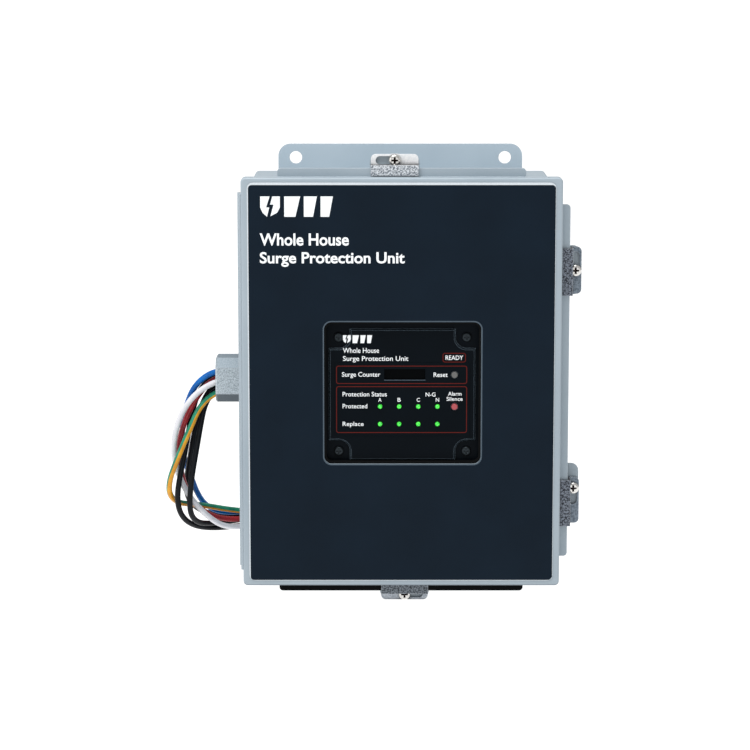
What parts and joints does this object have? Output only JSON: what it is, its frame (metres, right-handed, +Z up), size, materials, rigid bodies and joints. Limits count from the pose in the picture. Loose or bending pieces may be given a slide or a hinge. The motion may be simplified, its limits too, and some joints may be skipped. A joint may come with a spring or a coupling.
{
  "type": "whole house surge protector",
  "caption": "Wall-mounted surge protective device in a hinged steel box with sliding cover clamps, a windowed status display, and loose leads that leave through a side conduit hub.",
  "frame": {"origin": "centre of the four wall-mounting holes, on the mounting plane (back of the feet)", "axes": "+X to the right as seen from the front, +Y into the wall, +Z up; the cover faces -Y"},
  "size_m": [0.2845, 0.2478, 0.304],
  "materials": {
    "painted_steel": "light blue-grey powder coat, satin",
    "zinc_plate": "zinc plate, finely speckled",
    "cast_zinc": "cast zinc, finely speckled, satin",
    "bright_screw": "bright zinc plate",
    "dark_screw": "black oxide",
    "label_film": "navy-black film with a fine orange-peel surface",
    "gasket_rubber": "matt closed-cell rubber",
    "module_case": "fine-grained black moulding",
    "overlay_film": "smooth black film",
    "counter_lcd": "dark display, clear glossy front",
    "green_lens": "clear green, glossy",
    "grey_key": "satin grey",
    "red_key": "satin pinkish red",
    "circuit_board": "green solder mask",
    "varistor_epoxy": "blue epoxy coat",
    "black_nylon": "satin black nylon",
    "wire_blue": "glossy wire insulation",
    "wire_red": "glossy wire insulation",
    "wire_white": "glossy wire insulation",
    "wire_black": "glossy wire insulation",
    "wire_green": "glossy green wire insulation with a yellow stripe",
    "wire_mixed": "bundle of glossy wire insulation in mixed colours"
  },
  "bodies": {
    "enclosure": {"enclosure_body": "painted_steel", "mounting_foot_top": "painted_steel", "mounting_foot_bottom": "painted_steel", "hinge_leaf_body": "painted_steel", "hinge_pin": "bright_screw", "clamp_brackets": "painted_steel", "weld_nuts": "zinc_plate", "panel_studs": "zinc_plate", "backplate": "painted_steel", "backplate_nuts": "zinc_plate", "ground_stud": "bright_screw", "ground_nut": "bright_screw", "module_housing": "module_case", "lead_grommet": "gasket_rubber", "module_front": "module_case", "display_overlay": "overlay_film", "counter_display": "counter_lcd", "module_screws": "dark_screw", "control_board": "circuit_board", "status_leds": "green_lens", "button_switches": "black_nylon", "varistor_blocks": "varistor_epoxy", "alarm_buzzer": "black_nylon", "conduit_hub": "cast_zinc", "hub_sealing_ring": "gasket_rubber", "hub_locknut": "zinc_plate", "hub_bushing": "black_nylon", "inner_leads": "wire_mixed", "wire_blue": "wire_blue", "wire_red": "wire_red", "wire_white": "wire_white", "wire_black_1": "wire_black", "wire_black_2": "wire_black", "wire_black_3": "wire_black", "wire_green": "wire_green", "wire_coil": "wire_mixed", "coil_ties": "black_nylon"},
    "cover": {"cover": "painted_steel", "cover_label": "label_film", "cover_gasket": "gasket_rubber", "window_gasket": "gasket_rubber", "hinge_leaf_cover": "painted_steel"},
    "clamp_top": {"clamp_top": "zinc_plate"},
    "clamp_bottom": {"clamp_bottom": "zinc_plate"},
    "clamp_right_upper": {"clamp_right_upper": "zinc_plate"},
    "clamp_right_lower": {"clamp_right_lower": "zinc_plate"},
    "clamp_screw_top": {"clamp_screw_top": "bright_screw"},
    "clamp_screw_bottom": {"clamp_screw_bottom": "bright_screw"},
    "clamp_screw_right_upper": {"clamp_screw_right_upper": "bright_screw"},
    "clamp_screw_right_lower": {"clamp_screw_right_lower": "bright_screw"},
    "reset_button": {"reset_button": "grey_key"},
    "alarm_button": {"alarm_button": "red_key"}
  },
  "joints": [
    {"name": "cover_hinge", "type": "hinge", "parent": "enclosure", "child": "cover", "pos_m": [-0.1069, -0.0985, 0], "axis": [0, 0, -1], "range_deg": [0, 180]},
    {"name": "clamp_top_slide", "type": "slide", "parent": "enclosure", "child": "clamp_top", "axis": [1, 0, 0], "range_m": [0, 0.0097]},
    {"name": "clamp_bottom_slide", "type": "slide", "parent": "enclosure", "child": "clamp_bottom", "axis": [-1, 0, 0], "range_m": [0, 0.0097]},
    {"name": "clamp_right_upper_slide", "type": "slide", "parent": "enclosure", "child": "clamp_right_upper", "axis": [0, 0, -1], "range_m": [0, 0.0097]},
    {"name": "clamp_right_lower_slide", "type": "slide", "parent": "enclosure", "child": "clamp_right_lower", "axis": [0, 0, 1], "range_m": [-0.0012, 0.0085]},
    {"name": "clamp_screw_top_turn", "type": "hinge", "parent": "enclosure", "child": "clamp_screw_top", "pos_m": [-0.0046, -0.09, 0.1478], "axis": [0, -1, 0], "continuous": true},
    {"name": "clamp_screw_bottom_turn", "type": "hinge", "parent": "enclosure", "child": "clamp_screw_bottom", "pos_m": [0.0024, -0.09, -0.1478], "axis": [0, -1, 0], "continuous": true},
    {"name": "clamp_screw_right_upper_turn", "type": "hinge", "parent": "enclosure", "child": "clamp_screw_right_upper", "pos_m": [0.1165, -0.09, 0.0742], "axis": [0, -1, 0], "continuous": true},
    {"name": "clamp_screw_right_lower_turn", "type": "hinge", "parent": "enclosure", "child": "clamp_screw_right_lower", "pos_m": [0.1165, -0.09, -0.0742], "axis": [0, -1, 0], "continuous": true},
    {"name": "reset_press", "type": "slide", "parent": "enclosure", "child": "reset_button", "axis": [0, 1, 0], "range_m": [0, 0.001], "stiffness_N_per_m": 600, "springref_m": -0.001},
    {"name": "alarm_press", "type": "slide", "parent": "enclosure", "child": "alarm_button", "axis": [0, 1, 0], "range_m": [0, 0.001], "stiffness_N_per_m": 600, "springref_m": -0.001}
  ]
}
